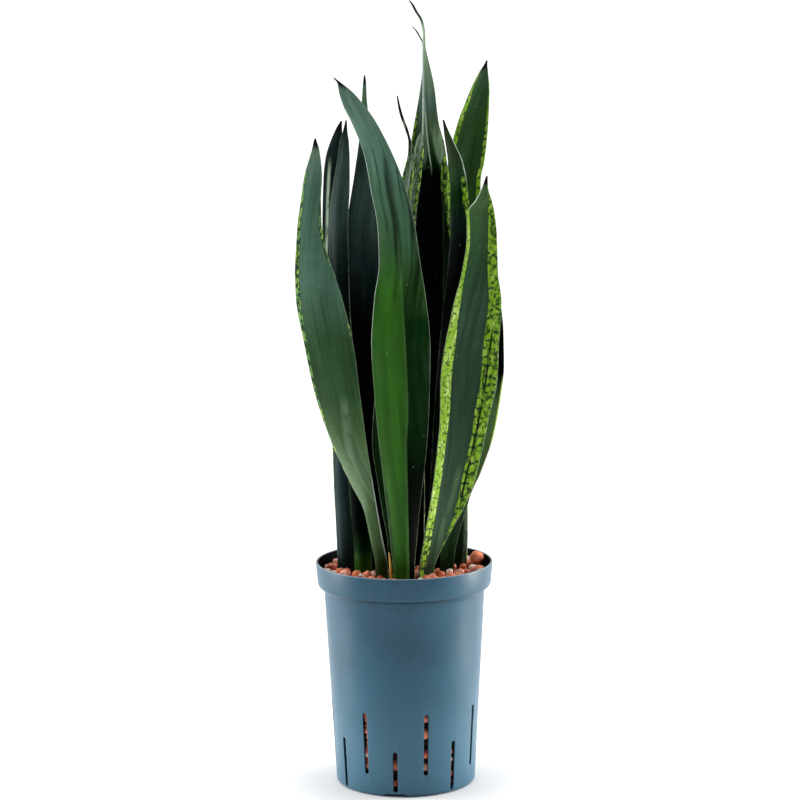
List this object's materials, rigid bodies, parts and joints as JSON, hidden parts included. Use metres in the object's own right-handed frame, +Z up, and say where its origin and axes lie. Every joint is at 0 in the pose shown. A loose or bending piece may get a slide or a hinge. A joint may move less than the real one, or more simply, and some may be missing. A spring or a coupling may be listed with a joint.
{
  "type": "potted black tiger snake plant",
  "caption": "Upright snake plant with long dark leaves edged in lime, growing in clay pebbles in a tapered slotted plastic pot with a wide rim band.",
  "frame": {"origin": "middle of the pad under the pot, on the surface that the pot stands on, which is also the pot's axis", "axes": "+Z up along the pot's axis, -Y to the front that the picture shows, +X to the right seen from the front"},
  "size_m": [0.173, 0.15, 0.66],
  "materials": {
    "pot_plastic": "satin",
    "fired_clay": "matte",
    "rhizome": "matte",
    "leaf_bright": "satin",
    "leaf_grey_green": "satin",
    "leaf_olive": "satin",
    "leaf_dark": "satin",
    "leaf_blue_green": "satin",
    "dry_leaf": "matte"
  },
  "bodies": {
    "root": {"pot": "pot_plastic", "clay_pebbles": "fired_clay", "rhizome": "rhizome", "leaf_front_middle": "leaf_bright", "leaf_front_left": "leaf_grey_green", "leaf_front_right": "leaf_grey_green", "leaf_short_olive": "leaf_olive", "leaf_short_right": "leaf_dark", "leaf_middle_right": "leaf_dark", "leaf_right": "leaf_bright", "leaf_behind_front": "leaf_blue_green", "leaf_narrow_tip": "leaf_grey_green", "leaf_blunt_tip": "leaf_grey_green", "leaf_tallest": "leaf_dark", "leaf_back": "leaf_dark", "leaf_left_front": "leaf_blue_green", "leaf_left_back": "leaf_blue_green", "dry_sheath": "dry_leaf"}
  },
  "joints": []
}
